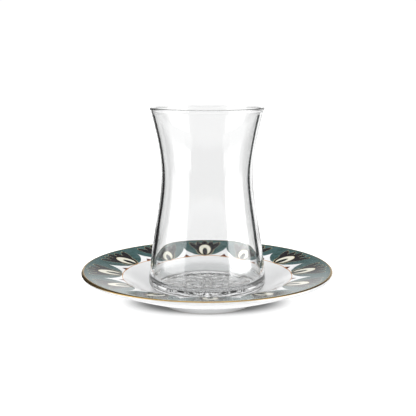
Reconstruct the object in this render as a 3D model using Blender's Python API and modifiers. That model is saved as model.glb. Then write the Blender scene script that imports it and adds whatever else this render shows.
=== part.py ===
# A waisted glass for hot tea, standing in the well of its porcelain saucer.
# Metres, +Z up. The origin is the centre of the saucer's foot ring, on the table.
# Both pieces are turned about the Z axis from profiles in the (radius, height) plane.

import math

import bpy
import numpy as np

# Saucer: a flat centre, a bowl rising to a crease, and a shallow band out to the rim.
SAUCER_RADIUS = 0.0605
SAUCER_STEPS = 64
RIM_EDGE_RADIUS = 0.0010
RIM_EDGE_HEIGHT = 0.0162
WELL_RADIUS = 0.0250
WELL_HEIGHT = 0.0065
CREASE_RADIUS = 0.0410
CREASE_HEIGHT = 0.0138
BOWL_SLOPE_AT_CREASE = 0.58
BOWL_HANDLE = 0.0056
UNDERSIDE_START_HANDLE = (0.0500, 0.0116)
UNDERSIDE_END_HANDLE = (0.0360, 0.0056)
UNDERSIDE_MEETS_FOOT = (0.0236, 0.0032)
FOOT_OUTER_RADIUS = 0.0219
FOOT_INNER_RADIUS = 0.0193
FOOT_ROUNDING = 0.0003
FOOT_FLARE = 0.0006
RECESS_RADIUS = 0.0182
RECESS_HEIGHT = 0.0028
RECESS_CORNER = 0.0006

# Glass: heights are above its own base, and the wall is given at a few stations
# as (height, radius). The narrowest place is the waist, where a hand holds it.
REST_GAP = 0.0003
GLASS_STEPS = 48
GLASS_HEIGHT = 0.0875
LIP_BEAD_RADIUS = 0.00065
LIP_RING_RADIUS = 0.0264
WAIST_HEIGHT = 0.0549
INNER_WAIST_RADIUS = 0.0203
OUTER_WAIST_RADIUS = 0.02175
FLOOR_HEIGHT = 0.0036
FLOOR_RADIUS = 0.0175
FLOOR_HANDLE = 0.0060
WALL_FOOT_HANDLE = (0.0004, 0.0030)
INNER_WALL = (
    (0.0080, 0.02616),
    (0.0150, 0.02523),
    (0.0220, 0.02414),
    (0.0310, 0.02294),
    (0.0400, 0.02151),
    (WAIST_HEIGHT, INNER_WAIST_RADIUS),
    (0.0702, 0.02175),
    (0.0858, 0.02550),
)
OUTER_WALL = (
    (0.0052, 0.02825),
    (0.0212, 0.02635),
    (0.0390, 0.02345),
    (WAIST_HEIGHT, OUTER_WAIST_RADIUS),
    (0.0702, 0.02300),
    (0.0856, 0.02640),
)
BASE_RADIUS = 0.0238
HEEL_TOP_HANDLE = (0.0003, 0.0030)
HEEL_BASE_HANDLE = 0.0022
BASE_RECESS_RADIUS = 0.0205
BASE_RECESS_DEPTH = 0.0008
BASE_RECESS_CORNER = 0.0010


def bezier(start, start_handle, end_handle, end, count):
    """Points on a cubic curve, from just after its start up to its end."""
    a, b, c, d = (np.array(p) for p in (start, start_handle, end_handle, end))
    points = []
    for i in range(1, count + 1):
        t = i / count
        s = 1 - t
        points.append(tuple(s**3 * a + 3 * s * s * t * b + 3 * s * t * t * c + t**3 * d))
    return points


def arc(centre, radius, start_deg, end_deg, count):
    """Points on a circle, angles measured from straight out, both ends included."""
    points = []
    for i in range(count + 1):
        angle = math.radians(start_deg + (end_deg - start_deg) * i / count)
        points.append((centre[0] + radius * math.cos(angle), centre[1] + radius * math.sin(angle)))
    return points


def wall(stations, count):
    """A natural cubic spline through (height, radius) stations, as (radius, height) points."""
    heights, radii = np.array(stations).T
    size = len(heights)
    step = np.diff(heights)
    slope = np.diff(radii) / step
    matrix = np.eye(size)
    bend = np.zeros(size)
    for i in range(1, size - 1):
        matrix[i, i - 1:i + 2] = step[i - 1], 2 * (step[i - 1] + step[i]), step[i]
        bend[i] = 6 * (slope[i] - slope[i - 1])
    bend = np.linalg.solve(matrix, bend)
    points = []
    for height in np.linspace(heights[0], heights[-1], count):
        i = min(int(np.searchsorted(heights, height, side="right")) - 1, size - 2)
        a = (heights[i + 1] - height) / step[i]
        b = (height - heights[i]) / step[i]
        radius = a * radii[i] + b * radii[i + 1]
        radius += ((a**3 - a) * bend[i] + (b**3 - b) * bend[i + 1]) * step[i] ** 2 / 6
        points.append((float(radius), float(height)))
    return points


def turn(name, profile, base_height, steps, material, collection):
    """Spin a profile about Z. It starts and ends on the axis and runs down its outer side."""
    mesh = bpy.data.meshes.new(name)
    vertices = [(radius, 0, height) for radius, height in profile]
    edges = [(i, i + 1) for i in range(len(vertices) - 1)]
    mesh.from_pydata(vertices, edges, [])
    piece = bpy.data.objects.new(name, mesh)
    piece.location.z = base_height
    collection.objects.link(piece)
    screw = piece.modifiers.new("turn", "SCREW")
    screw.axis = "Z"
    screw.angle = 2 * math.pi
    screw.steps = steps
    screw.render_steps = steps
    screw.use_merge_vertices = True
    screw.merge_threshold = 0.00001
    screw.use_smooth_shade = True
    mesh.materials.append(material)
    return piece


def finish(name, colour, roughness, transmission=0.0, coat=0.0):
    """A Principled material."""
    material = bpy.data.materials.new(name)
    material.use_nodes = True
    shader = material.node_tree.nodes["Principled BSDF"]
    shader.inputs["Base Color"].default_value = (*colour, 1)
    shader.inputs["Metallic"].default_value = 0
    shader.inputs["Roughness"].default_value = roughness
    shader.inputs["Transmission Weight"].default_value = transmission
    shader.inputs["Coat Weight"].default_value = coat
    return material


def saucer_profile():
    """Up the inside from the centre, over the rim, and down the underside to the foot."""
    edge_centre = (SAUCER_RADIUS - RIM_EDGE_RADIUS, RIM_EDGE_HEIGHT)
    crease = (CREASE_RADIUS, CREASE_HEIGHT)
    band_width = edge_centre[0] - CREASE_RADIUS
    band_rise = RIM_EDGE_HEIGHT + RIM_EDGE_RADIUS - CREASE_HEIGHT
    band_tilt = math.degrees(math.atan2(band_rise, band_width))
    points = [(0, WELL_HEIGHT), (WELL_RADIUS * 0.5, WELL_HEIGHT), (WELL_RADIUS, WELL_HEIGHT)]
    points += bezier(
        points[-1],
        (WELL_RADIUS + BOWL_HANDLE, WELL_HEIGHT),
        (CREASE_RADIUS - BOWL_HANDLE, CREASE_HEIGHT - BOWL_HANDLE * BOWL_SLOPE_AT_CREASE),
        crease,
        8,
    )
    points.append((CREASE_RADIUS + band_width / 2, CREASE_HEIGHT + band_rise / 2))
    points += arc(edge_centre, RIM_EDGE_RADIUS, 90 + band_tilt, -60, 6)
    points += bezier(points[-1], UNDERSIDE_START_HANDLE, UNDERSIDE_END_HANDLE, UNDERSIDE_MEETS_FOOT, 8)
    points += bezier(
        UNDERSIDE_MEETS_FOOT,
        (FOOT_OUTER_RADIUS + FOOT_FLARE, UNDERSIDE_MEETS_FOOT[1] - FOOT_FLARE),
        (FOOT_OUTER_RADIUS + FOOT_FLARE / 2, UNDERSIDE_MEETS_FOOT[1] / 2),
        (FOOT_OUTER_RADIUS, FOOT_ROUNDING),
        3,
    )
    points.append((FOOT_OUTER_RADIUS - FOOT_ROUNDING, 0))
    points.append((FOOT_INNER_RADIUS + FOOT_ROUNDING, 0))
    points.append((FOOT_INNER_RADIUS, FOOT_ROUNDING))
    points.append((RECESS_RADIUS + RECESS_CORNER, RECESS_HEIGHT - RECESS_CORNER))
    points.append((RECESS_RADIUS, RECESS_HEIGHT))
    points.append((0, RECESS_HEIGHT))
    return points


def glass_profile():
    """Up the inside from the floor, over the lip bead, and down the outside to the base."""
    inside = wall(INNER_WALL, 16)
    outside = wall(OUTER_WALL, 16)
    outside.reverse()
    foot_of_wall = inside[0]
    heel_top = outside[-1]
    points = [(0, FLOOR_HEIGHT), (FLOOR_RADIUS * 0.5, FLOOR_HEIGHT), (FLOOR_RADIUS, FLOOR_HEIGHT)]
    points += bezier(
        points[-1],
        (FLOOR_RADIUS + FLOOR_HANDLE, FLOOR_HEIGHT),
        (foot_of_wall[0] + WALL_FOOT_HANDLE[0], foot_of_wall[1] - WALL_FOOT_HANDLE[1]),
        foot_of_wall,
        6,
    )
    points += inside[1:]
    points += arc((LIP_RING_RADIUS, GLASS_HEIGHT - LIP_BEAD_RADIUS), LIP_BEAD_RADIUS, 165, -60, 7)
    points += outside
    points += bezier(
        heel_top,
        (heel_top[0] + HEEL_TOP_HANDLE[0], heel_top[1] - HEEL_TOP_HANDLE[1]),
        (BASE_RADIUS + HEEL_BASE_HANDLE, 0),
        (BASE_RADIUS, 0),
        5,
    )
    points.append((BASE_RECESS_RADIUS + BASE_RECESS_CORNER, 0))
    points.append((BASE_RECESS_RADIUS, BASE_RECESS_DEPTH))
    points.append((0, BASE_RECESS_DEPTH))
    return points


for old in list(bpy.data.objects):
    bpy.data.objects.remove(old, do_unlink=True)

parts = bpy.data.collections.new("turkish_tea_glass")
bpy.context.scene.collection.children.link(parts)

porcelain = finish("white_porcelain", (0.86, 0.87, 0.86), 0.15, coat=0.6)
clear_glass = finish("clear_glass", (0.97, 0.98, 0.98), 0.02, transmission=1.0)

turn("saucer", saucer_profile(), 0, SAUCER_STEPS, porcelain, parts)
turn("tea_glass", glass_profile(), WELL_HEIGHT + REST_GAP, GLASS_STEPS, clear_glass, parts)
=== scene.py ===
import math

import bmesh
import bpy
import numpy as np
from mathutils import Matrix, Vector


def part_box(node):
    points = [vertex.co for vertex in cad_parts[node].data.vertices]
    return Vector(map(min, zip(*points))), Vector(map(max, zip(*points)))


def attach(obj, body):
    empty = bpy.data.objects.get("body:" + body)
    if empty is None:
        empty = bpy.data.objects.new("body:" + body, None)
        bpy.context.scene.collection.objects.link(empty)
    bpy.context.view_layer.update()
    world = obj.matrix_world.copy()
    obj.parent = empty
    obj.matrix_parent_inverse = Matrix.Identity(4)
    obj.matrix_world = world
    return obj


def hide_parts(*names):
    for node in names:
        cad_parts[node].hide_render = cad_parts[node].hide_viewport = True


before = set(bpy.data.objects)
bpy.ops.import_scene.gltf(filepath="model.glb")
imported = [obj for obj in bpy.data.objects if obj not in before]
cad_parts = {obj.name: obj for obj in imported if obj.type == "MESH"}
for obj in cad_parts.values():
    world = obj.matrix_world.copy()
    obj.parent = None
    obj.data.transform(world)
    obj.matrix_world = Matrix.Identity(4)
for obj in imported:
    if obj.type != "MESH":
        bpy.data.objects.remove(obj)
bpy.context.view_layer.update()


# Saucer
# A porcelain dish, jiggered on a mould and glazed all over but for the foot ring it was fired on.
# The flat well rises through a bowl to a crease, and a shallow band runs out to the rounded rim.
# The border on the band is a transfer print, fired into the glaze.
saucer_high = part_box("saucer")[1]
SAUCER_RADIUS = saucer_high[0]
SAUCER_STEPS = 256
RIM_EDGE_RADIUS = 0.0010
RIM_EDGE_HEIGHT = saucer_high[2] - RIM_EDGE_RADIUS
RIM_END_DEG = -60
WELL_RADIUS = 0.0250
WELL_HEIGHT = 0.0065
CREASE_RADIUS = 0.0410
CREASE_HEIGHT = 0.0138
BOWL_SLOPE_AT_CREASE = 0.58
BOWL_HANDLE = 0.0056
UNDERSIDE_START_HANDLE = (0.0500, 0.0116)
UNDERSIDE_END_HANDLE = (0.0360, 0.0056)
UNDERSIDE_MEETS_FOOT = (0.0236, 0.0032)
FOOT_OUTER_RADIUS = 0.0219
FOOT_INNER_RADIUS = 0.0193
FOOT_ROUNDING = 0.0003
FOOT_ROUNDING_START_DEG = -15
FOOT_FLARE = 0.0006
RECESS_RADIUS = 0.0182
RECESS_HEIGHT = 0.0028
RECESS_CORNER = 0.0006
GILT_THICKNESS = 0.00003


def bezier(start, start_handle, end_handle, end, count):
    """Points on a cubic curve, from just after its start up to its end."""
    a, b, c, d = (np.array(p) for p in (start, start_handle, end_handle, end))
    points = []
    for i in range(1, count + 1):
        t = i / count
        s = 1 - t
        points.append(tuple(s**3 * a + 3 * s * s * t * b + 3 * s * t * t * c + t**3 * d))
    return points


def arc(centre, radius, start_deg, end_deg, count):
    """Points on a circle, angles measured from straight out, both ends included."""
    points = []
    for i in range(count + 1):
        angle = math.radians(start_deg + (end_deg - start_deg) * i / count)
        points.append((centre[0] + radius * math.cos(angle), centre[1] + radius * math.sin(angle)))
    return points


def line(start, end, count):
    """Evenly spaced points, from just after the start up to the end."""
    start, end = np.array(start), np.array(end)
    return [tuple(start + (end - start) * i / count) for i in range(1, count + 1)]


def turned(name, profile, steps, loop=False):
    """A piece turned about Z from (radius, height) points that run down its outer side."""
    form = bmesh.new()
    circle = [(math.cos(a), math.sin(a)) for a in np.linspace(0, 2 * math.pi, steps, endpoint=False)]
    rings = []
    for radius, height in profile:
        if radius < 1e-7:
            rings.append([form.verts.new((0, 0, height))] * steps)
        else:
            rings.append([form.verts.new((radius * c, radius * s, height)) for c, s in circle])
    if loop:
        rings.append(rings[0])
    for upper, lower in zip(rings, rings[1:]):
        for i in range(steps):
            j = (i + 1) % steps
            corners = [upper[i], lower[i], lower[j], upper[j]]
            form.faces.new(list(dict.fromkeys(corners)))
    mesh = bpy.data.meshes.new(name)
    form.to_mesh(mesh)
    form.free()
    mesh.shade_smooth()
    piece = bpy.data.objects.new(name, mesh)
    bpy.context.scene.collection.objects.link(piece)
    return piece


rim_centre = (SAUCER_RADIUS - RIM_EDGE_RADIUS, RIM_EDGE_HEIGHT)
band_width = rim_centre[0] - CREASE_RADIUS
band_rise = RIM_EDGE_HEIGHT + RIM_EDGE_RADIUS - CREASE_HEIGHT
band_tilt_deg = math.degrees(math.atan2(band_rise, band_width))
crease = (CREASE_RADIUS, CREASE_HEIGHT)
rim_arc = arc(rim_centre, RIM_EDGE_RADIUS - GILT_THICKNESS, 90 + band_tilt_deg, RIM_END_DEG, count=16)

saucer_profile = [(0, WELL_HEIGHT)]
saucer_profile += line((0, WELL_HEIGHT), (WELL_RADIUS, WELL_HEIGHT), count=6)
saucer_profile += bezier(
    (WELL_RADIUS, WELL_HEIGHT),
    (WELL_RADIUS + BOWL_HANDLE, WELL_HEIGHT),
    (CREASE_RADIUS - BOWL_HANDLE, CREASE_HEIGHT - BOWL_HANDLE * BOWL_SLOPE_AT_CREASE),
    crease,
    count=24,
)
saucer_profile += line(crease, rim_arc[0], count=8)
saucer_profile += rim_arc[1:]
saucer_profile += bezier(
    rim_arc[-1],
    UNDERSIDE_START_HANDLE,
    UNDERSIDE_END_HANDLE,
    UNDERSIDE_MEETS_FOOT,
    count=24,
)
saucer_profile += bezier(
    UNDERSIDE_MEETS_FOOT,
    (FOOT_OUTER_RADIUS + FOOT_FLARE, UNDERSIDE_MEETS_FOOT[1] - FOOT_FLARE),
    (FOOT_OUTER_RADIUS + FOOT_FLARE / 2, UNDERSIDE_MEETS_FOOT[1] / 2),
    (FOOT_OUTER_RADIUS, FOOT_ROUNDING),
    count=10,
)
foot_outer_corner = (FOOT_OUTER_RADIUS - FOOT_ROUNDING, FOOT_ROUNDING)
foot_inner_corner = (FOOT_INNER_RADIUS + FOOT_ROUNDING, FOOT_ROUNDING)
saucer_profile += arc(foot_outer_corner, FOOT_ROUNDING, FOOT_ROUNDING_START_DEG, -90, count=4)
saucer_profile += arc(foot_inner_corner, FOOT_ROUNDING, -90, -180, count=5)
saucer_profile += bezier(
    saucer_profile[-1],
    (FOOT_INNER_RADIUS, RECESS_HEIGHT - RECESS_CORNER),
    (FOOT_INNER_RADIUS - RECESS_CORNER, RECESS_HEIGHT),
    (RECESS_RADIUS, RECESS_HEIGHT),
    count=8,
)
saucer_profile += line((RECESS_RADIUS, RECESS_HEIGHT), (0, RECESS_HEIGHT), count=4)
saucer = turned("saucer_body", saucer_profile, SAUCER_STEPS)


def srgb(red, green, blue):
    """A colour read off a screen, 0 to 255, as the light values that a shader takes."""
    channels = [c / 255 for c in (red, green, blue)]
    return tuple(c / 12.92 if c < 0.04045 else ((c + 0.055) / 1.055) ** 2.4 for c in channels) + (1,)


def join(tree, source, target):
    """Feed a socket from another socket, or set it to a plain value."""
    if isinstance(source, bpy.types.NodeSocket):
        tree.links.new(source, target)
    else:
        target.default_value = source


def calc(tree, operation, *values, clamp=False):
    """The result of a Math node."""
    node = tree.nodes.new("ShaderNodeMath")
    node.operation = operation
    node.use_clamp = clamp
    for socket, value in zip(node.inputs, values):
        join(tree, value, socket)
    return node.outputs[0]


def product(tree, *values):
    """Several values multiplied together."""
    result = values[0]
    for value in values[1:]:
        result = calc(tree, "MULTIPLY", result, value)
    return result


def fade(tree, value, start, end, low=0.0, high=1.0):
    """A smooth change from low to high while the value goes from start to end."""
    node = tree.nodes.new("ShaderNodeMapRange")
    node.interpolation_type = "SMOOTHSTEP"
    join(tree, value, node.inputs["Value"])
    join(tree, start, node.inputs["From Min"])
    join(tree, end, node.inputs["From Max"])
    join(tree, low, node.inputs["To Min"])
    join(tree, high, node.inputs["To Max"])
    return node.outputs["Result"]


def paint(tree, mask, under, over):
    """One colour laid over another where the mask is 1."""
    node = tree.nodes.new("ShaderNodeMix")
    node.data_type = "RGBA"
    factor, first, second = (s for s in node.inputs if s.enabled)
    join(tree, mask, factor)
    join(tree, under, first)
    join(tree, over, second)
    return next(s for s in node.outputs if s.enabled)


def noise(tree, coordinates, scale, detail=2.0):
    """Soft random values from 0 to 1."""
    node = tree.nodes.new("ShaderNodeTexNoise")
    join(tree, coordinates, node.inputs["Vector"])
    join(tree, scale, node.inputs["Scale"])
    join(tree, detail, node.inputs["Detail"])
    return node.outputs["Fac"]


def separate(tree, vector):
    """The three parts of a vector."""
    node = tree.nodes.new("ShaderNodeSeparateXYZ")
    tree.links.new(vector, node.inputs[0])
    return node.outputs


def new_group(name, inputs, outputs):
    """An empty shader node group with named sockets."""
    group = bpy.data.node_groups.new(name, "ShaderNodeTree")
    for socket_name, socket_type, value in inputs:
        socket = group.interface.new_socket(socket_name, in_out="INPUT", socket_type=socket_type)
        socket.default_value = value
    for socket_name, socket_type in outputs:
        group.interface.new_socket(socket_name, in_out="OUTPUT", socket_type=socket_type)
    return group, group.nodes.new("NodeGroupInput"), group.nodes.new("NodeGroupOutput")


def placed(tree, group, **values):
    """The outputs of a node group placed in a material with its own values."""
    node = tree.nodes.new("ShaderNodeGroup")
    node.node_tree = group
    for name, value in values.items():
        join(tree, value, node.inputs[name])
    return node.outputs


# The printed border: twelve teal lobes, each with a dark tulip behind a cream loop and its bud,
# thin pale gold outlines, berries between the lobes, and a fine gold circle on the crease.
# Sizes are in mm. An oval is its centre, its half size and its tilt, across and along a lobe.
LOBES = 12
PRINT_TURN_DEG = -1.7
EDGE_BLUR = 0.10
NOTCH_END_MM = 52.5
NOTCH_LENGTH_MM = 10.5
NOTCH_HALF_WIDTH_MM = 6.0
NOTCH_CURVE = 2.3
LOBE_START_MM = 41.2
LOBE_ROUNDING_MM = 1.5
LOBE_HALF_WIDTH_MM = 6.5
LOBE_WIDENING = 100.0
TULIP_LEAVES = (
    ((0.0, 47.6), (5.2, 6.6), 0.0),
    ((0.0, 53.2), (1.9, 5.0), 0.0),
    ((3.3, 52.4), (1.7, 4.9), -13.0),
    ((6.2, 50.9), (1.8, 5.9), -31.0),
)
LOOP = ((0.0, 47.2), (3.3, 5.3))
OPENING = ((0.0, 44.6), (1.55, 4.6))
BUD = ((0.0, 44.6), (1.15, 3.6))
TULIP_OUTLINE = 1.05
TULIP_OUTLINE_BLUR = 0.015
LOOP_OUTLINE = 1.06
OPENING_INSIDE = 0.9
LARGE_OVAL_BLUR = 0.02
SMALL_OVAL_BLUR = 0.05
MOTTLE_RANGE = (0.35, 0.65)
BERRY_END_MM = 43.5
BERRY_SPREAD = 0.75
CIRCLE_START_MM = 40.8
CIRCLE_END_MM = 41.15
RIM_STRIP_START_MM = 58.0
PRINT_START_MM = 40.65
PRINT_LOWEST = 0.00016
PRINT_WHOLE = 0.00010
TEAL = srgb(70, 96, 97)
TEAL_DEEP = srgb(56, 82, 80)
TEAL_RIM = srgb(64, 88, 86)
CHARCOAL = srgb(37, 35, 38)
CREAM = srgb(228, 226, 212)
PALE_GOLD = srgb(190, 178, 140)
BERRY = srgb(92, 40, 30)
GOLD_CIRCLE = srgb(196, 140, 84)

border, border_in, border_out = new_group(
    "palmette_border",
    (
        ("Ground", "NodeSocketColor", TEAL),
        ("Tulip", "NodeSocketColor", CHARCOAL),
        ("Loop", "NodeSocketColor", CREAM),
        ("Outline", "NodeSocketColor", PALE_GOLD),
        ("Berry", "NodeSocketColor", BERRY),
        ("Circle", "NodeSocketColor", GOLD_CIRCLE),
        ("Porcelain", "NodeSocketColor", (0.8, 0.8, 0.8, 1)),
    ),
    (("Colour", "NodeSocketColor"),),
)


def in_repeat(tree, place_parts, count, turn_deg=0.0):
    """Where a point lies in a ring of like parts, each the same on both sides of its middle line.

    Gives the distance from the axis, the angle and the distance from the nearest middle line, and
    the place across and along that line. Lengths are in mm.
    """
    across, along = place_parts[0], place_parts[1]
    squares = calc(tree, "ADD", calc(tree, "POWER", across, 2.0), calc(tree, "POWER", along, 2.0))
    radius_mm = product(tree, calc(tree, "SQRT", squares), 1000.0)
    bearing = calc(tree, "SUBTRACT", calc(tree, "ARCTAN2", across, along), math.radians(turn_deg))
    repeats = product(tree, bearing, count / (2 * math.pi))
    off_middle = calc(tree, "SUBTRACT", repeats, calc(tree, "ROUND", repeats))
    angle = calc(tree, "ABSOLUTE", product(tree, off_middle, 2 * math.pi / count))
    side_mm = product(tree, radius_mm, calc(tree, "SINE", angle))
    point = tree.nodes.new("ShaderNodeCombineXYZ")
    tree.links.new(side_mm, point.inputs[0])
    tree.links.new(product(tree, radius_mm, calc(tree, "COSINE", angle)), point.inputs[1])
    return radius_mm, angle, side_mm, point.outputs[0]


def oval(tree, point, centre, half_size, tilt_deg=0.0):
    """How far out a point is from an oval's centre, 1 on its edge."""
    node = tree.nodes.new("ShaderNodeMapping")
    node.vector_type = "TEXTURE"
    node.inputs["Location"].default_value = (*centre, 0)
    node.inputs["Rotation"].default_value = (0, 0, math.radians(tilt_deg))
    node.inputs["Scale"].default_value = (*half_size, 1)
    tree.links.new(point, node.inputs["Vector"])
    length = tree.nodes.new("ShaderNodeVectorMath")
    length.operation = "LENGTH"
    tree.links.new(node.outputs[0], length.inputs[0])
    return length.outputs["Value"]


def within(value, edge, blur=EDGE_BLUR):
    """1 where the value is under the edge, with a soft border."""
    return fade(border, value, edge - blur, edge + blur, 1.0, 0.0)


def ring(value, inner, outer, blur=EDGE_BLUR):
    """1 where the value is between two edges."""
    return product(border, within(value, outer, blur), fade(border, value, inner - blur, inner + blur))


border_place = border.nodes.new("ShaderNodeTexCoord").outputs["Object"]
border_parts = separate(border, border_place)
radius_mm, lobe_angle, side_mm, in_lobe = in_repeat(border, border_parts, LOBES, PRINT_TURN_DEG)
from_seam_mm = product(border, calc(border, "SUBTRACT", math.pi / LOBES, lobe_angle), radius_mm)

to_notch_end = calc(border, "SUBTRACT", NOTCH_END_MM, radius_mm)
notch_share = calc(border, "DIVIDE", to_notch_end, NOTCH_LENGTH_MM, clamp=True)
notch_mm = product(border, calc(border, "POWER", notch_share, NOTCH_CURVE), NOTCH_HALF_WIDTH_MM)
past_notch = calc(border, "SUBTRACT", from_seam_mm, notch_mm)
past_start = calc(border, "SUBTRACT", radius_mm, LOBE_START_MM)
rounding = calc(border, "MULTIPLY", past_start, 1 / LOBE_ROUNDING_MM, clamp=True)
half_width_mm = product(border, calc(border, "SQRT", rounding), LOBE_HALF_WIDTH_MM)
past_side = calc(border, "SUBTRACT", half_width_mm, side_mm)
past_rounding = calc(border, "SUBTRACT", radius_mm, LOBE_START_MM + LOBE_ROUNDING_MM)
past_side = calc(border, "MAXIMUM", past_side, product(border, past_rounding, LOBE_WIDENING))
lobe = product(
    border,
    fade(border, past_notch, -2 * EDGE_BLUR, 0.0),
    fade(border, past_side, -EDGE_BLUR, EDGE_BLUR),
)
tulip = oval(border, in_lobe, *TULIP_LEAVES[0])
for leaf in TULIP_LEAVES[1:]:
    tulip = calc(border, "MINIMUM", tulip, oval(border, in_lobe, *leaf))
loop = oval(border, in_lobe, *LOOP)
opening = oval(border, in_lobe, *OPENING)
bud = oval(border, in_lobe, *BUD)
berry_mm = product(border, calc(border, "SUBTRACT", BERRY_END_MM, radius_mm), BERRY_SPREAD)
berry = fade(border, calc(border, "SUBTRACT", berry_mm, from_seam_mm), -EDGE_BLUR, EDGE_BLUR)
rim_strip = fade(border, radius_mm, RIM_STRIP_START_MM - EDGE_BLUR, RIM_STRIP_START_MM + EDGE_BLUR)

mottle = fade(border, noise(border, border_place, scale=260.0, detail=3.0), *MOTTLE_RANGE)
colour = paint(border, mottle, border_in.outputs["Ground"], TEAL_DEEP)
colour = paint(border, lobe, border_in.outputs["Porcelain"], colour)
colour = paint(border, rim_strip, colour, TEAL_RIM)
for mask, ink in (
    (ring(tulip, 1.0, TULIP_OUTLINE, TULIP_OUTLINE_BLUR), "Outline"),
    (within(tulip, 1.0, LARGE_OVAL_BLUR), "Tulip"),
    (within(loop, LOOP_OUTLINE, LARGE_OVAL_BLUR), "Outline"),
    (within(loop, 1.0, LARGE_OVAL_BLUR), "Loop"),
    (within(opening, 1.0, SMALL_OVAL_BLUR), "Outline"),
    (within(opening, OPENING_INSIDE, SMALL_OVAL_BLUR), "Ground"),
    (within(bud, 1.0, SMALL_OVAL_BLUR), "Tulip"),
    (berry, "Berry"),
    (ring(radius_mm, CIRCLE_START_MM, CIRCLE_END_MM), "Circle"),
):
    colour = paint(border, mask, colour, border_in.outputs[ink])

past_crease = calc(border, "SUBTRACT", radius_mm, CREASE_RADIUS * 1000)
over_crease = product(border, past_crease, band_rise / band_width / 1000)
band_height = calc(border, "ADD", over_crease, CREASE_HEIGHT)
under_band = calc(border, "SUBTRACT", band_height, border_parts[2])
on_band = product(
    border,
    fade(border, under_band, PRINT_LOWEST, PRINT_WHOLE),
    fade(border, radius_mm, PRINT_START_MM - EDGE_BLUR / 2, PRINT_START_MM + EDGE_BLUR / 2),
)
colour = paint(border, on_band, border_in.outputs["Porcelain"], colour)
border.links.new(colour, border_out.inputs["Colour"])

# Waves too slight to see but in what a surface mirrors, as on glaze and on pressed glass.
slight_waves, waves_in, waves_out = new_group(
    "slight_waves",
    (
        ("Scale", "NodeSocketFloat", 100.0),
        ("Strength", "NodeSocketFloat", 0.05),
        ("Distance", "NodeSocketFloat", 0.0002),
    ),
    (("Normal", "NodeSocketVector"),),
)
waves_place = slight_waves.nodes.new("ShaderNodeTexCoord").outputs["Object"]
swell = noise(slight_waves, waves_place, waves_in.outputs["Scale"], detail=1.0)
bump = slight_waves.nodes.new("ShaderNodeBump")
slight_waves.links.new(waves_in.outputs["Strength"], bump.inputs["Strength"])
slight_waves.links.new(waves_in.outputs["Distance"], bump.inputs["Distance"])
slight_waves.links.new(swell, bump.inputs["Height"])
slight_waves.links.new(bump.outputs["Normal"], waves_out.inputs["Normal"])

# The glaze: clear over white porcelain, very slightly uneven, as it ran before the firing. The
# ring that stood on the kiln shelf is bare and rough.
PORCELAIN = (0.87, 0.875, 0.88, 1)
PORCELAIN_CLOUD = tuple(c * 0.97 for c in PORCELAIN[:3]) + (1,)
CLOUD_RANGE = (0.3, 0.7)
CLOUD_SHARE = 0.5
BARE_FOOT = (0.66, 0.64, 0.60, 1)
BARE_FROM = 0.00025
GLAZED_FROM = 0.00045
GLAZE_ROUGHNESS = 0.06
SMEAR_ROUGHNESS = 1.8 * GLAZE_ROUGHNESS
SMEAR_RANGE = (0.35, 0.75)
BARE_ROUGHNESS = (0.75, 0.75, 0.75, 1)
GLAZE_IOR = 1.55


def new_material(name):
    """A material with one Principled shader, and its node tree."""
    material = bpy.data.materials.new(name)
    material.use_nodes = True
    return material, material.node_tree, material.node_tree.nodes["Principled BSDF"]


porcelain, tree, shader = new_material("glazed_porcelain")
place = tree.nodes.new("ShaderNodeTexCoord").outputs["Object"]
bare = fade(tree, separate(tree, place)[2], GLAZED_FROM, BARE_FROM)
cloud = fade(tree, noise(tree, place, scale=45.0, detail=3.0), *CLOUD_RANGE, 0.0, CLOUD_SHARE)
white_body = paint(tree, cloud, PORCELAIN, PORCELAIN_CLOUD)
printed = placed(tree, border, Porcelain=white_body)["Colour"]
tree.links.new(paint(tree, bare, printed, BARE_FOOT), shader.inputs["Base Color"])
smear = noise(tree, place, scale=30.0, detail=4.0)
glaze_roughness = fade(tree, smear, *SMEAR_RANGE, GLAZE_ROUGHNESS, SMEAR_ROUGHNESS)
tree.links.new(paint(tree, bare, glaze_roughness, BARE_ROUGHNESS), shader.inputs["Roughness"])
shader.inputs["IOR"].default_value = GLAZE_IOR
glaze_waves = placed(tree, slight_waves, Scale=220.0, Strength=0.05, Distance=0.0002)
tree.links.new(glaze_waves["Normal"], shader.inputs["Normal"])
saucer.data.materials.append(porcelain)
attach(saucer, "root")
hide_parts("saucer")


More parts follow.
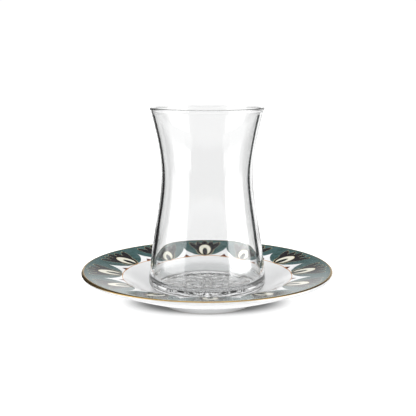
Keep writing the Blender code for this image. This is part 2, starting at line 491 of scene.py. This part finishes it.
# Gilt edge
# A line of liquid gold brushed round the rim on a turntable and fired, wrapped over the edge.
# It is burnished, and was laid wider down the outside on the left.
GILT_START_DEG = 106
GILT_END_DEG = 40
GILT_WIDE_END_DEG = -15
GILT_WIDE_AT_DEG = 182
GILT_WIDE_CURVE = 2.5
GILT_DEPTH = 1.3 * GILT_THICKNESS
GOLD_DARK = (0.42, 0.28, 0.11, 1)
GOLD_LIGHT = (0.54, 0.38, 0.16, 1)
GOLD_ROUGHNESS = (0.16, 0.30)
BRUSH_RANGE = (0.3, 0.7)
outer_line = arc(rim_centre, RIM_EDGE_RADIUS, GILT_START_DEG, GILT_END_DEG, count=14)
inner_line = arc(rim_centre, RIM_EDGE_RADIUS - GILT_DEPTH, GILT_END_DEG, GILT_START_DEG, count=14)
gilt = turned("gilt_edge", outer_line + inner_line, SAUCER_STEPS, loop=True)
for vertex in gilt.data.vertices:
    bearing = math.atan2(vertex.co.y, vertex.co.x)
    out = math.hypot(vertex.co.x, vertex.co.y) - rim_centre[0]
    up = vertex.co.z - rim_centre[1]
    around_deg = math.degrees(math.atan2(up, out))
    share = (GILT_START_DEG - around_deg) / (GILT_START_DEG - GILT_END_DEG)
    wide = max(0.0, math.cos(bearing - math.radians(GILT_WIDE_AT_DEG))) ** GILT_WIDE_CURVE
    around = math.radians(around_deg - share * wide * (GILT_END_DEG - GILT_WIDE_END_DEG))
    from_rim_centre = math.hypot(out, up)
    radius = rim_centre[0] + from_rim_centre * math.cos(around)
    height = rim_centre[1] + from_rim_centre * math.sin(around)
    vertex.co = (radius * math.cos(bearing), radius * math.sin(bearing), height)

gold, tree, shader = new_material("burnished_gold")
place = tree.nodes.new("ShaderNodeTexCoord").outputs["Object"]
brushed = noise(tree, place, scale=120.0, detail=4.0)
tree.links.new(paint(tree, brushed, GOLD_DARK, GOLD_LIGHT), shader.inputs["Base Color"])
tree.links.new(fade(tree, brushed, *BRUSH_RANGE, *GOLD_ROUGHNESS), shader.inputs["Roughness"])
shader.inputs["Metallic"].default_value = 1.0
gilt.data.materials.append(gold)
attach(gilt, "root")


# Glass
# Pressed and blown in clear glass, then fire-polished: a thin rounded lip, a waist to hold it by,
# and a wall that thickens towards a heavy base with a rosette moulded into its underside.
glass_low, glass_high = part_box("tea_glass")
GLASS_BASE = glass_low[2]
GLASS_HEIGHT = glass_high[2] - glass_low[2]
GLASS_STEPS = 240
LIP_BEAD_RADIUS = 0.00065
LIP_RING_RADIUS = 0.0264
LIP_START_DEG = 165
LIP_END_DEG = -60
WAIST_HEIGHT = 0.0549
INNER_WAIST_RADIUS = 0.0203
OUTER_WAIST_RADIUS = 0.02175
FLOOR_HEIGHT = 0.0036
FLOOR_RADIUS = 0.0175
FLOOR_HANDLE = 0.0060
WALL_FOOT_HANDLE = (0.0004, 0.0030)
INNER_WALL = (
    (0.0080, 0.02616),
    (0.0150, 0.02523),
    (0.0220, 0.02414),
    (0.0310, 0.02294),
    (0.0400, 0.02151),
    (WAIST_HEIGHT, INNER_WAIST_RADIUS),
    (0.0702, 0.02175),
    (0.0858, 0.02550),
)
OUTER_WALL = (
    (0.0052, 0.02825),
    (0.0212, 0.02635),
    (0.0390, 0.02345),
    (WAIST_HEIGHT, OUTER_WAIST_RADIUS),
    (0.0702, 0.02300),
    (0.0856, 0.02640),
)
BASE_RADIUS = 0.0238
HEEL_TOP_HANDLE = (0.0003, 0.0030)
HEEL_BASE_HANDLE = 0.0022
BASE_RECESS_RADIUS = 0.0205
BASE_RECESS_DEPTH = 0.0008
BASE_RECESS_CORNER = 0.0010


def wall(stations, count):
    """A natural cubic spline through (height, radius) stations, as (radius, height) points."""
    heights, radii = np.array(stations).T
    size = len(heights)
    step = np.diff(heights)
    slope = np.diff(radii) / step
    matrix = np.eye(size)
    bend = np.zeros(size)
    for i in range(1, size - 1):
        matrix[i, i - 1:i + 2] = step[i - 1], 2 * (step[i - 1] + step[i]), step[i]
        bend[i] = 6 * (slope[i] - slope[i - 1])
    bend = np.linalg.solve(matrix, bend)
    points = []
    for height in np.linspace(heights[0], heights[-1], count):
        i = min(int(np.searchsorted(heights, height, side="right")) - 1, size - 2)
        a = (heights[i + 1] - height) / step[i]
        b = (height - heights[i]) / step[i]
        radius = a * radii[i] + b * radii[i + 1]
        radius += ((a**3 - a) * bend[i] + (b**3 - b) * bend[i + 1]) * step[i] ** 2 / 6
        points.append((float(radius), float(height)))
    return points


inside = wall(INNER_WALL, count=60)
outside = wall(OUTER_WALL, count=60)
outside.reverse()
foot_of_wall = inside[0]
heel_top = outside[-1]
recess_rim = (BASE_RECESS_RADIUS + BASE_RECESS_CORNER, 0)
recess_edge = (BASE_RECESS_RADIUS, BASE_RECESS_DEPTH)
lip_centre = (LIP_RING_RADIUS, GLASS_HEIGHT - LIP_BEAD_RADIUS)
glass_profile = [(0, FLOOR_HEIGHT)]
glass_profile += line((0, FLOOR_HEIGHT), (FLOOR_RADIUS, FLOOR_HEIGHT), count=6)
glass_profile += bezier(
    (FLOOR_RADIUS, FLOOR_HEIGHT),
    (FLOOR_RADIUS + FLOOR_HANDLE, FLOOR_HEIGHT),
    (foot_of_wall[0] + WALL_FOOT_HANDLE[0], foot_of_wall[1] - WALL_FOOT_HANDLE[1]),
    foot_of_wall,
    count=28,
)
glass_profile += inside[1:]
glass_profile += arc(lip_centre, LIP_BEAD_RADIUS, LIP_START_DEG, LIP_END_DEG, count=18)
glass_profile += outside
glass_profile += bezier(
    heel_top,
    (heel_top[0] + HEEL_TOP_HANDLE[0], heel_top[1] - HEEL_TOP_HANDLE[1]),
    (BASE_RADIUS + HEEL_BASE_HANDLE, 0),
    (BASE_RADIUS, 0),
    count=20,
)
glass_profile += line((BASE_RADIUS, 0), recess_rim, count=3)
glass_profile += bezier(
    recess_rim,
    (BASE_RECESS_RADIUS + BASE_RECESS_CORNER / 2, 0),
    (BASE_RECESS_RADIUS + BASE_RECESS_CORNER / 2, BASE_RECESS_DEPTH),
    recess_edge,
    count=8,
)
glass_profile += line(recess_edge, (0, BASE_RECESS_DEPTH), count=70)
glass = turned("glass_body", [(r, h + GLASS_BASE) for r, h in glass_profile], GLASS_STEPS)

# The rosette: a boss, eight petals, a thin band and a wreath of twelve petals, which stand down
# from the recess under the base. A ring of petals is their number, where they start and end from
# the axis, and half a petal's width.
ROSETTE_RELIEF = 0.0007
PETAL_TAPER = 0.7
PETAL_CROWN = 0.6
BOSS_RADIUS = 0.0017
FLOWER = (8, 0.0022, 0.0108, 0.0026)
BAND_RADIUS = 0.0117
BAND_HALF_WIDTH = 0.0005
WREATH = (12, 0.0124, 0.0194, 0.0032)


def petals(radius, bearing, count, inner, outer, half_width):
    """Height from 0 to 1 of a ring of rounded petals between two radii."""
    turn = 2 * math.pi / count
    off_axis = abs((bearing + turn / 2) % turn - turn / 2) * radius
    part = (radius - inner) / (outer - inner)
    if not 0 < part < 1:
        return 0.0
    width = half_width * math.sin(math.pi * part) ** PETAL_TAPER
    return max(0.0, 1 - (off_axis / width) ** 2) ** PETAL_CROWN


def rosette(radius, bearing):
    """Height of the moulded rosette under the base, from 0 to 1."""
    flower = petals(radius, bearing, *FLOWER)
    wreath = petals(radius, bearing, *WREATH)
    boss = max(0.0, 1 - (radius / BOSS_RADIUS) ** 2) ** 0.5
    band = max(0.0, 1 - ((radius - BAND_RADIUS) / BAND_HALF_WIDTH) ** 2) ** 0.5
    return max(flower, wreath, boss, band)


for vertex in glass.data.vertices:
    radius = math.hypot(vertex.co.x, vertex.co.y)
    if radius < BASE_RECESS_RADIUS and vertex.co.z < GLASS_BASE + BASE_RECESS_DEPTH + 1e-5:
        vertex.co.z -= ROSETTE_RELIEF * rosette(radius, math.atan2(vertex.co.y, vertex.co.x))

# The glass itself is clear. Painted shade: a dark line down each side of the outer face, where the
# wall is seen edge-on, and grey in the thick corner inside the base and along the outlines of the
# petals.
CLEAR = (0.987, 0.989, 0.989, 1)
EDGE_PAINTED_SHADE = (0.012, 0.014, 0.014, 1)
CORNER_PAINTED_SHADE = (0.70, 0.71, 0.71, 1)
PETAL_PAINTED_SHADE = (0.06, 0.062, 0.064, 1)
EDGE_FACING = 0.68
EDGE_FACING_AT_LIP = 0.76
EDGE_FLARE_HEIGHTS = (0.060, 0.080)
EDGE_HALF_WIDTH = 0.07
EDGE_RIGHT_SHIFT = 0.10
EDGE_SHIFT_ACROSS = (-0.01, 0.02)
EDGE_FOOT_HEIGHTS = (0.024, 0.026)
EDGE_LIP_HEIGHTS = (0.092, 0.091)
CORNER_HEIGHTS = (0.0152, 0.0112)
INWARD = -0.002
OUTLINE_INSET = 0.0002
OUTLINE_BLUR = (0.40, 0.16)
UNDERSIDE_HEIGHTS = (GLASS_BASE + 0.0012, GLASS_BASE + 0.0010)
GLASS_IOR = 1.52
clear, tree, shader = new_material("clear_glass")
spot = tree.nodes.new("ShaderNodeTexCoord")
place = spot.outputs["Object"]
across, along, height = separate(tree, place)
level = tree.nodes.new("ShaderNodeCombineXYZ")
tree.links.new(across, level.inputs[0])
tree.links.new(along, level.inputs[1])
outward = tree.nodes.new("ShaderNodeVectorMath")
outward.operation = "DOT_PRODUCT"
tree.links.new(level.outputs[0], outward.inputs[0])
tree.links.new(spot.outputs["Normal"], outward.inputs[1])
outer_face = calc(tree, "GREATER_THAN", outward.outputs["Value"], 0.0)
inner_face = calc(tree, "LESS_THAN", outward.outputs["Value"], INWARD)

weight = tree.nodes.new("ShaderNodeLayerWeight")
weight.inputs["Blend"].default_value = 0.5
to_right = fade(tree, across, *EDGE_SHIFT_ACROSS, 0.0, EDGE_RIGHT_SHIFT)
middle = fade(tree, height, *EDGE_FLARE_HEIGHTS, EDGE_FACING, EDGE_FACING_AT_LIP)
middle = calc(tree, "SUBTRACT", middle, to_right)
off_edge = calc(tree, "ABSOLUTE", calc(tree, "SUBTRACT", weight.outputs["Facing"], middle))
# Painted shade: a dark line in the glass colour on the outer face, where Layer Weight facing shows the
# wall seen edge-on.
edge = product(
    tree,
    outer_face,
    fade(tree, off_edge, EDGE_HALF_WIDTH, EDGE_HALF_WIDTH / 2),
    fade(tree, height, *EDGE_FOOT_HEIGHTS),
    fade(tree, height, *EDGE_LIP_HEIGHTS),
)
# Painted shade: grey on the faces turned towards the axis, low in the thick corner inside the base.
painted_corner_shade = product(tree, inner_face, fade(tree, height, *CORNER_HEIGHTS))


def petal_outlines(count, inner, outer, half_width):
    """1 along the outlines of a ring of petals moulded in the underside."""
    point = in_repeat(tree, (across, along), count)[3]
    centre_mm = (inner + outer) * 500
    half_size = ((half_width - OUTLINE_INSET) * 1000, (outer - inner) * 500)
    off_outline = calc(tree, "SUBTRACT", oval(tree, point, (0.0, centre_mm), half_size), 1.0)
    return fade(tree, calc(tree, "ABSOLUTE", off_outline), *OUTLINE_BLUR)


# Painted shade: dark grey along the outlines of the petals moulded under the base.
outlines = product(
    tree,
    calc(tree, "MAXIMUM", petal_outlines(*FLOWER), petal_outlines(*WREATH)),
    fade(tree, height, *UNDERSIDE_HEIGHTS),
)
glass_colour = paint(tree, edge, CLEAR, EDGE_PAINTED_SHADE)
glass_colour = paint(tree, painted_corner_shade, glass_colour, CORNER_PAINTED_SHADE)
glass_colour = paint(tree, outlines, glass_colour, PETAL_PAINTED_SHADE)
tree.links.new(glass_colour, shader.inputs["Base Color"])
shader.inputs["Roughness"].default_value = 0.0
shader.inputs["IOR"].default_value = GLASS_IOR
shader.inputs["Transmission Weight"].default_value = 1.0
glass_waves = placed(tree, slight_waves, Scale=60.0, Strength=0.04, Distance=0.0005)
tree.links.new(glass_waves["Normal"], shader.inputs["Normal"])
glass.data.materials.append(clear)
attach(glass, "root")
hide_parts("tea_glass")


# Floor
# A wide white table top with a painted glow, seen most by the camera, that fades out in an oval under
# the saucer as a painted shadow.
# The glass and the glaze don't show this one: the studio light has a table of its own for them.
FLOOR_HALF_WIDTH = 4.0
TABLE_WHITE = (0.50, 0.50, 0.50, 1)
TABLE_CLOUD = (0.52, 0.52, 0.52, 1)
SHADE_HALF_SIZE = (0.0385, 0.0231)
SHADE_START = 0.74
SHADE_END = 1.16
TABLE_GLOW = 0.7
GLOW_UNSEEN = 0.8
bpy.ops.mesh.primitive_plane_add(size=2 * FLOOR_HALF_WIDTH, location=(0, 0, 0))
floor = bpy.context.object
floor.name = "floor"
white, tree, shader = new_material("white_table")
place = tree.nodes.new("ShaderNodeTexCoord").outputs["Object"]
table_colour = paint(tree, noise(tree, place, scale=3.0), TABLE_WHITE, TABLE_CLOUD)
tree.links.new(table_colour, shader.inputs["Base Color"])
shader.inputs["Roughness"].default_value = 0.9
shader.inputs["Specular IOR Level"].default_value = 0.0
# Painted shadow: the glow fades out in an oval round the foot, wider across than front to back.
out_from_foot = oval(tree, place, (0.0, 0.0), SHADE_HALF_SIZE)
seen = tree.nodes.new("ShaderNodeLightPath").outputs["Is Camera Ray"]
glow = product(
    tree,
    fade(tree, out_from_foot, SHADE_START, SHADE_END),
    calc(tree, "MULTIPLY_ADD", seen, 1 - GLOW_UNSEEN, GLOW_UNSEEN),
)
tree.links.new(paint(tree, glow, (0, 0, 0, 1), (1, 1, 1, 1)), shader.inputs["Emission Color"])
shader.inputs["Emission Strength"].default_value = TABLE_GLOW
floor.data.materials.append(white)
floor.visible_glossy = False
floor.visible_transmission = False


# Studio light
# A white tent all round lights what is matt. The glass and the glaze mirror a low white backdrop,
# a tall soft box on each side, one overhead, the table, and a dark end where the camera stands.
# Strengths come first, then where each light starts and ends, in degrees up or round.
WHITE_ROOM = 1.05
BEHIND_GLASS = 1.02
TENT_LOW = 0.7
TENT_TOP = 2.2
TENT_RIGHT = 0.25
TENT_FRONT = 0.5
BACKDROP = 1.0
SIDE_BOX_LEFT = 2.4
SIDE_BOX_RIGHT = 3.4
SIDE_BOX_RIGHT_LOW = 2.4
SIDE_BOX_FOOT = 0.75
TOP_BOX = 1.2
ROOM = 0.07
TABLE = 0.85
UPPER_INSIDE = 1.05
TENT_RISE_DEG = (5.0, 55.0)
TENT_RIGHT_FALL_DEG = (45.0, 15.0)
TENT_FRONT_ROUND_DEG = (40.0, 90.0)
BACKDROP_LEFT_DEG = -20.0
BACKDROP_RIGHT_DEG = 38.0
BACKDROP_FALL_DEG = (26.0, 5.0)
SIDE_BOX_NEAR_DEG = 46.0
SIDE_BOX_FAR_DEG = 99.0
SIDE_BOX_FAR_BLUR_DEG = 4.0
SIDE_BOX_TILT_BELOW_DEG = -8.0
SIDE_BOX_TILT = 0.5
SIDE_BOX_TOP_DEG = (60.0, 50.0)
SIDE_BOX_FOOT_DEG = (-14.0, -5.0)
RIGHT_LOW_START_DEG = (-8.0, -5.0)
RIGHT_LOW_END_DEG = (8.0, 5.0)
TOP_BOX_DEG = (52.0, 62.0)
TABLE_DEG = (-24.0, -30.0)
INSIDE_ROUND_DEG = (35.0, 45.0)
INSIDE_RISE_DEG = (2.0, 8.0)
LEFT_TO_RIGHT = (-0.1, 0.1)
FAR_RIGHT = (0.2, 0.9)
world = bpy.data.worlds.new("studio")
bpy.context.scene.world = world
world.use_nodes = True
tree = world.node_tree
sky = tree.nodes["Background"]
direction = separate(tree, tree.nodes.new("ShaderNodeTexCoord").outputs["Generated"])
height = product(tree, calc(tree, "ARCSINE", direction[2]), 180 / math.pi)
bearing = product(tree, calc(tree, "ARCTAN2", direction[0], direction[1]), 180 / math.pi)
from_front = calc(tree, "SUBTRACT", 180.0, calc(tree, "ABSOLUTE", bearing))


def total(*values):
    """The sum of several values."""
    result = values[0]
    for value in values[1:]:
        result = calc(tree, "ADD", result, value)
    return result


def choose(when, then, otherwise):
    """One value where a mask is 1, and another where it is 0."""
    unless = calc(tree, "SUBTRACT", 1.0, when)
    return total(product(tree, when, then), product(tree, unless, otherwise))


low_backdrop = product(
    tree,
    fade(tree, bearing, BACKDROP_LEFT_DEG - 1, BACKDROP_LEFT_DEG + 1, 0.0, BACKDROP),
    fade(tree, bearing, BACKDROP_RIGHT_DEG + 1, BACKDROP_RIGHT_DEG - 1),
    fade(tree, height, *BACKDROP_FALL_DEG),
)
below_tilt = calc(tree, "MAXIMUM", calc(tree, "SUBTRACT", SIDE_BOX_TILT_BELOW_DEG, height), 0.0)
near_edge = calc(tree, "ADD", product(tree, below_tilt, SIDE_BOX_TILT), SIDE_BOX_NEAR_DEG)
far_edge = (SIDE_BOX_FAR_DEG + SIDE_BOX_FAR_BLUR_DEG, SIDE_BOX_FAR_DEG - SIDE_BOX_FAR_BLUR_DEG)
low_right = product(
    tree,
    fade(tree, height, *RIGHT_LOW_START_DEG),
    fade(tree, height, *RIGHT_LOW_END_DEG),
    fade(tree, direction[0], *LEFT_TO_RIGHT, 0.0, SIDE_BOX_RIGHT_LOW),
)
box_light = total(fade(tree, direction[0], *LEFT_TO_RIGHT, SIDE_BOX_LEFT, SIDE_BOX_RIGHT), low_right)
side_box = product(
    tree,
    fade(tree, calc(tree, "SUBTRACT", from_front, near_edge), -1.0, 1.0),
    fade(tree, from_front, *far_edge),
    fade(tree, height, *SIDE_BOX_TOP_DEG),
    fade(tree, height, *SIDE_BOX_FOOT_DEG, SIDE_BOX_FOOT, box_light),
)
top_box = fade(tree, height, *TOP_BOX_DEG, 0.0, TOP_BOX)
mirrored = total(low_backdrop, side_box, top_box, ROOM)
mirrored = choose(fade(tree, height, *TABLE_DEG), TABLE, mirrored)
upper_inside = fade(tree, from_front, *INSIDE_ROUND_DEG, ROOM, UPPER_INSIDE)
inside_glass = choose(fade(tree, height, *INSIDE_RISE_DEG), upper_inside, mirrored)
right_side = product(
    tree,
    fade(tree, direction[0], *FAR_RIGHT, 0.0, TENT_RIGHT),
    fade(tree, height, *TENT_RIGHT_FALL_DEG),
)
tent = product(
    tree,
    total(fade(tree, height, *TENT_RISE_DEG, TENT_LOW, TENT_TOP), right_side),
    fade(tree, from_front, *TENT_FRONT_ROUND_DEG, TENT_FRONT, 1.0),
)

# A ray that only passed through the glass met its faces in pairs, and its depth is one more than
# the faces that it met, so it is odd.
path = tree.nodes.new("ShaderNodeLightPath")
through_glass = path.outputs["Is Transmission Ray"]
straight = product(tree, through_glass, calc(tree, "MODULO", path.outputs["Ray Depth"], 2.0))
mirror_ray = calc(tree, "MAXIMUM", path.outputs["Is Glossy Ray"], through_glass)
after_matt = calc(tree, "GREATER_THAN", path.outputs["Diffuse Depth"], 0.5)
lights_matt = calc(tree, "MAXIMUM", after_matt, calc(tree, "SUBTRACT", 1.0, mirror_ray))
light = choose(through_glass, inside_glass, mirrored)
light = choose(straight, BEHIND_GLASS, light)
light = choose(lights_matt, tent, light)
light = choose(path.outputs["Is Camera Ray"], WHITE_ROOM, light)
tree.links.new(light, sky.inputs["Strength"])
sky.inputs["Color"].default_value = (1, 1, 1, 1)
bpy.context.scene.view_settings.view_transform = "Standard"


# Camera
# A longish lens a little above the lip, looking slightly down, as the photograph was taken.
CAMERA_DISTANCE = 0.39049
CAMERA_HEIGHT = 0.11409
CAMERA_SIDE = 0.0004
CAMERA_PITCH_DEG = 9.86
SENSOR_WIDTH = 36.0
FOCAL_PX = 826.32
FRAME_PX = 416
lens = bpy.data.cameras.new("camera")
lens.sensor_width = SENSOR_WIDTH
lens.lens = FOCAL_PX / FRAME_PX * SENSOR_WIDTH
camera = bpy.data.objects.new("camera", lens)
camera.location = (CAMERA_SIDE, -CAMERA_DISTANCE, CAMERA_HEIGHT)
camera.rotation_euler = (math.radians(90 - CAMERA_PITCH_DEG), 0, 0)
bpy.context.scene.collection.objects.link(camera)
bpy.context.scene.camera = camera
